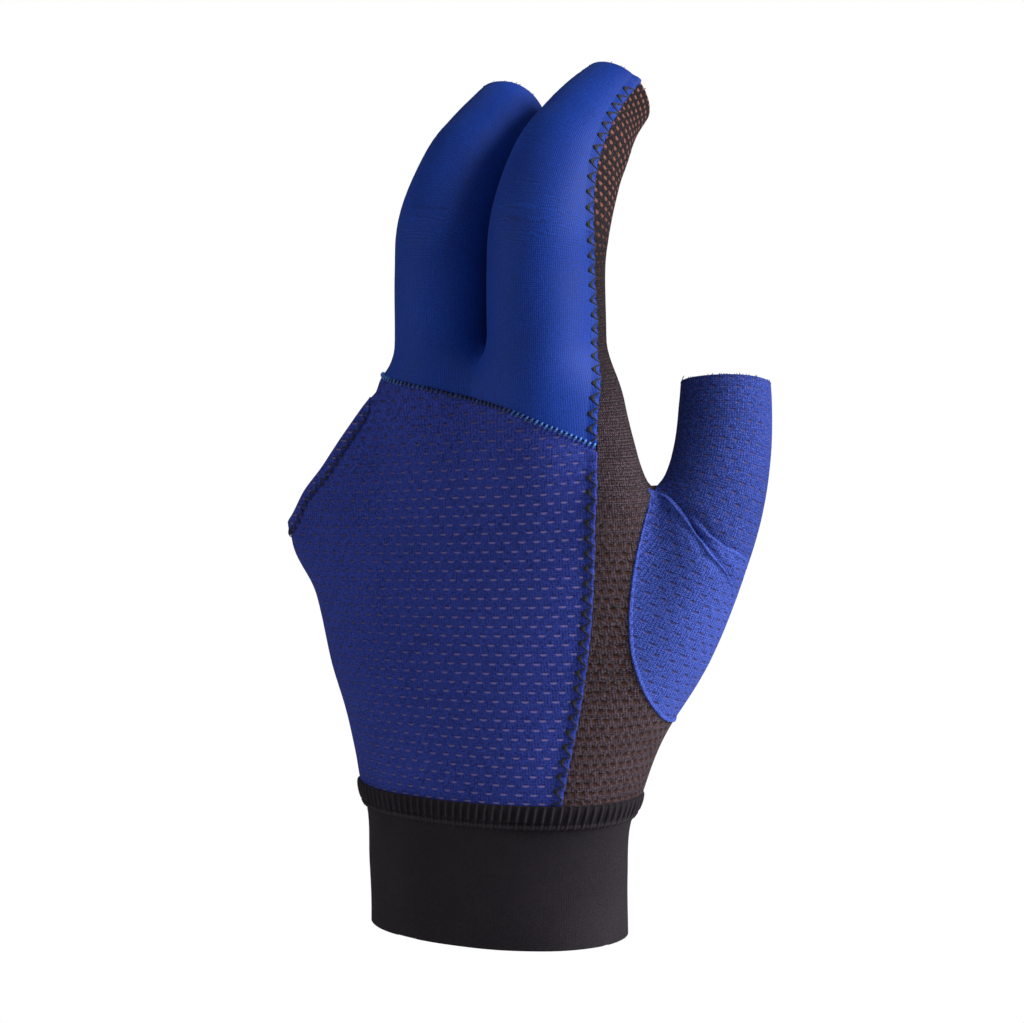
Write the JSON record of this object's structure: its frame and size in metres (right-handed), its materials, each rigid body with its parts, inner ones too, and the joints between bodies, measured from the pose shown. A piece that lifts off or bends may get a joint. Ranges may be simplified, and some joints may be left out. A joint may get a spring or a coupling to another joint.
{
  "type": "billiard glove",
  "caption": "Fitted stretch glove for a left hand with open thumb, index and middle fingertips, an open ring and little finger side, and a snug wrist cuff, in its worn form.",
  "frame": {"origin": "centre of the wrist opening, in the plane of the cuff's lower edge", "axes": "+Z from the wrist to the fingers, +X to the thumb side, -Y the back of the hand, +Y the palm"},
  "size_m": [0.108, 0.0549, 0.1892],
  "materials": {
    "cuff": "smooth matte knit",
    "cuff_seam": "ribbed matte stitching",
    "back_panel": "eyelet mesh knit",
    "finger_tops": "smooth stretch knit with a soft sheen",
    "palm_panel": "eyelet mesh knit",
    "thumb_sleeve": "eyelet mesh knit",
    "opening_hem": "folded hem with matte thread"
  },
  "bodies": {
    "root": {"cuff": "cuff", "cuff_seam": "cuff_seam", "back_panel": "back_panel", "finger_tops": "finger_tops", "palm_panel": "palm_panel", "thumb_sleeve": "thumb_sleeve", "opening_hem": "opening_hem"}
  },
  "joints": []
}
